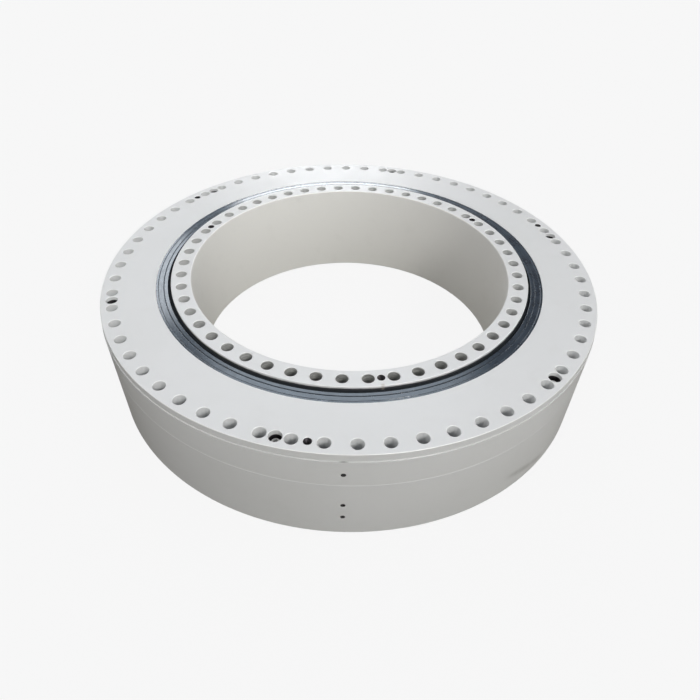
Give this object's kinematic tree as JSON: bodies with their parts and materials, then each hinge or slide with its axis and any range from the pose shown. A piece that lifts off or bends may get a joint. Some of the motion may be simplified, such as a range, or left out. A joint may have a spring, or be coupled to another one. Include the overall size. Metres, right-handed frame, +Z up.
{
  "type": "slewing ring bearing",
  "caption": "Large ungeared roller slewing ring bearing with a split outer ring, a nosed inner ring, mount holes round both rings and black lip seals.",
  "frame": {"origin": "on the axis of rotation, in the mounting face under the outer ring", "axes": "+Z up along the axis of rotation, from the outer ring's mounting face to the inner ring's; +X through a mount hole of each ring"},
  "size_m": [1.52, 1.52, 0.327],
  "materials": {
    "ring_paint": "satin off-white paint over steel",
    "seal_rubber": "smooth black rubber with a film of oil",
    "screw_steel": "blackened steel",
    "roller_steel": "ground bearing steel",
    "cage_nylon": "natural nylon"
  },
  "bodies": {
    "outer_ring": {"outer_ring_upper": "ring_paint", "outer_ring_lower": "ring_paint", "upper_seal": "seal_rubber", "lower_seal": "seal_rubber", "joint_cord_seal": "seal_rubber", "joining_screws": "screw_steel"},
    "inner_ring": {"inner_ring": "ring_paint"},
    "upper_axial_row": {"upper_axial_cage_1": "cage_nylon", "upper_axial_cage_2": "cage_nylon", "upper_axial_cage_3": "cage_nylon", "upper_axial_cage_4": "cage_nylon", "upper_axial_cage_5": "cage_nylon", "upper_axial_cage_6": "cage_nylon", "upper_axial_rollers_1": "roller_steel", "upper_axial_rollers_2": "roller_steel", "upper_axial_rollers_3": "roller_steel", "upper_axial_rollers_4": "roller_steel", "upper_axial_rollers_5": "roller_steel", "upper_axial_rollers_6": "roller_steel"},
    "radial_row": {"radial_cage_1": "cage_nylon", "radial_cage_2": "cage_nylon", "radial_cage_3": "cage_nylon", "radial_cage_4": "cage_nylon", "radial_cage_5": "cage_nylon", "radial_cage_6": "cage_nylon", "radial_rollers_1": "roller_steel", "radial_rollers_2": "roller_steel", "radial_rollers_3": "roller_steel", "radial_rollers_4": "roller_steel", "radial_rollers_5": "roller_steel", "radial_rollers_6": "roller_steel"},
    "lower_axial_row": {"lower_axial_cage_1": "cage_nylon", "lower_axial_cage_2": "cage_nylon", "lower_axial_cage_3": "cage_nylon", "lower_axial_cage_4": "cage_nylon", "lower_axial_cage_5": "cage_nylon", "lower_axial_cage_6": "cage_nylon", "lower_axial_rollers_1": "roller_steel", "lower_axial_rollers_2": "roller_steel", "lower_axial_rollers_3": "roller_steel", "lower_axial_rollers_4": "roller_steel", "lower_axial_rollers_5": "roller_steel", "lower_axial_rollers_6": "roller_steel"}
  },
  "joints": [
    {"name": "ring_turn", "type": "hinge", "parent": "outer_ring", "child": "inner_ring", "pos_m": [0, 0, 0], "axis": [0, 0, 1], "continuous": true},
    {"name": "upper_axial_row_turn", "type": "hinge", "parent": "outer_ring", "child": "upper_axial_row", "pos_m": [0, 0, 0], "axis": [0, 0, 1], "continuous": true},
    {"name": "radial_row_turn", "type": "hinge", "parent": "outer_ring", "child": "radial_row", "pos_m": [0, 0, 0], "axis": [0, 0, 1], "continuous": true},
    {"name": "lower_axial_row_turn", "type": "hinge", "parent": "outer_ring", "child": "lower_axial_row", "pos_m": [0, 0, 0], "axis": [0, 0, 1], "continuous": true}
  ],
  "couplings": [
    {"joint": "upper_axial_row_turn", "follows": "ring_turn", "ratio": 0.5},
    {"joint": "radial_row_turn", "follows": "ring_turn", "ratio": 0.48758},
    {"joint": "lower_axial_row_turn", "follows": "ring_turn", "ratio": 0.5}
  ]
}
